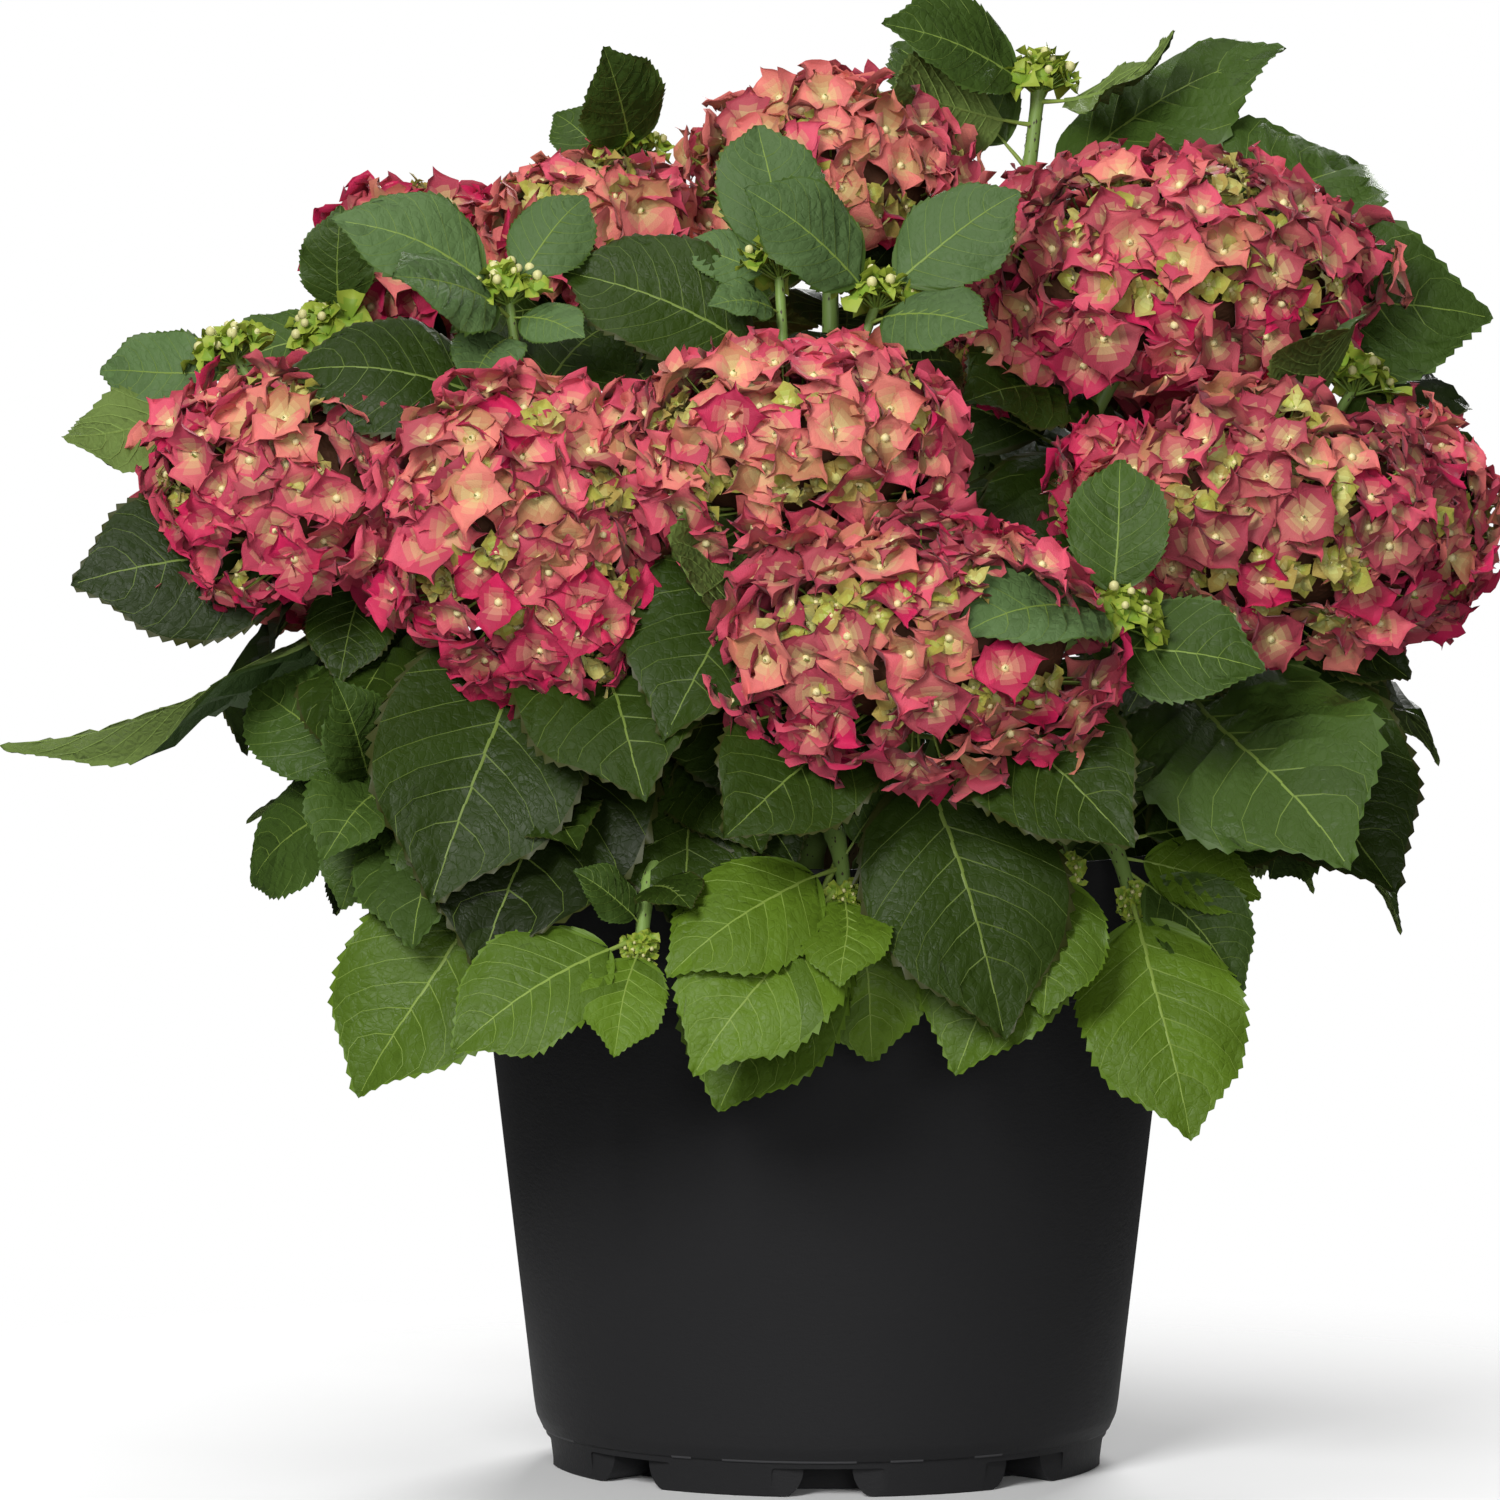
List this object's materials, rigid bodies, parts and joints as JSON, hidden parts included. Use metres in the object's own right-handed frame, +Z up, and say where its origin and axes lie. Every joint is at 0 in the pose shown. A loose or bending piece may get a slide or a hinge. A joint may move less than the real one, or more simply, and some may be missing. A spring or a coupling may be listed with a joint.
{
  "type": "potted hydrangea shrub",
  "caption": "Bushy hydrangea with pink mopheads, toothed green leaves and lime bud clusters, growing in a tapered black nursery pot with notched drainage foot",
  "frame": {"origin": "middle of the pot's flat underside", "axes": "+Z up along the pot's axis, -Y towards the side the shrub is seen from, +X to that viewer's right"},
  "size_m": [0.6606, 0.5782, 0.6581],
  "materials": {
    "pot_plastic": "satin black moulded plastic with a fine level grain",
    "potting_soil": "crumbly dark potting soil",
    "leaf_green": "satin green leaves with paler veins",
    "stem_green": "pale green woody stems with dark specks",
    "petal_pink": "soft matte dusty pink to crimson sepals"
  },
  "bodies": {
    "root": {"bloom_back": "petal_pink", "bloom_back_left": "petal_pink", "bloom_back_right": "petal_pink", "bloom_centre": "petal_pink", "bloom_far_left": "petal_pink", "bloom_front": "petal_pink", "bloom_inner": "petal_pink", "bloom_left": "petal_pink", "bloom_mid_left": "petal_pink", "bloom_right_high": "petal_pink", "bloom_right_low": "petal_pink", "bloom_side_left": "petal_pink", "bloom_side_right": "petal_pink", "bloom_top": "petal_pink", "bloom_top_left": "petal_pink", "pot": "pot_plastic", "shoot_high_right": "leaf_green", "shoot_low_left": "leaf_green", "shoot_middle": "leaf_green", "shoot_rim_back": "leaf_green", "shoot_rim_back_left": "leaf_green", "shoot_rim_back_right": "leaf_green", "shoot_rim_front": "leaf_green", "shoot_rim_front_left": "leaf_green", "shoot_rim_front_right": "leaf_green", "shoot_rim_left": "leaf_green", "shoot_rim_right": "leaf_green", "shoot_rim_side_left": "leaf_green", "shoot_rim_side_right": "leaf_green", "soil": "potting_soil", "stem_back": "stem_green", "stem_back_left": "stem_green", "stem_back_right": "stem_green", "stem_centre": "stem_green", "stem_far_left": "stem_green", "stem_front": "stem_green", "stem_high_right": "stem_green", "stem_inner": "stem_green", "stem_left": "stem_green", "stem_low_left": "stem_green", "stem_mid_left": "stem_green", "stem_middle": "stem_green", "stem_right_high": "stem_green", "stem_right_low": "stem_green", "stem_rim_back": "stem_green", "stem_rim_back_left": "stem_green", "stem_rim_back_right": "stem_green", "stem_rim_front": "stem_green", "stem_rim_front_left": "stem_green", "stem_rim_front_right": "stem_green", "stem_rim_left": "stem_green", "stem_rim_right": "stem_green", "stem_rim_side_left": "stem_green", "stem_rim_side_right": "stem_green", "stem_side_left": "stem_green", "stem_side_right": "stem_green", "stem_top": "stem_green", "stem_top_left": "stem_green"}
  },
  "joints": []
}
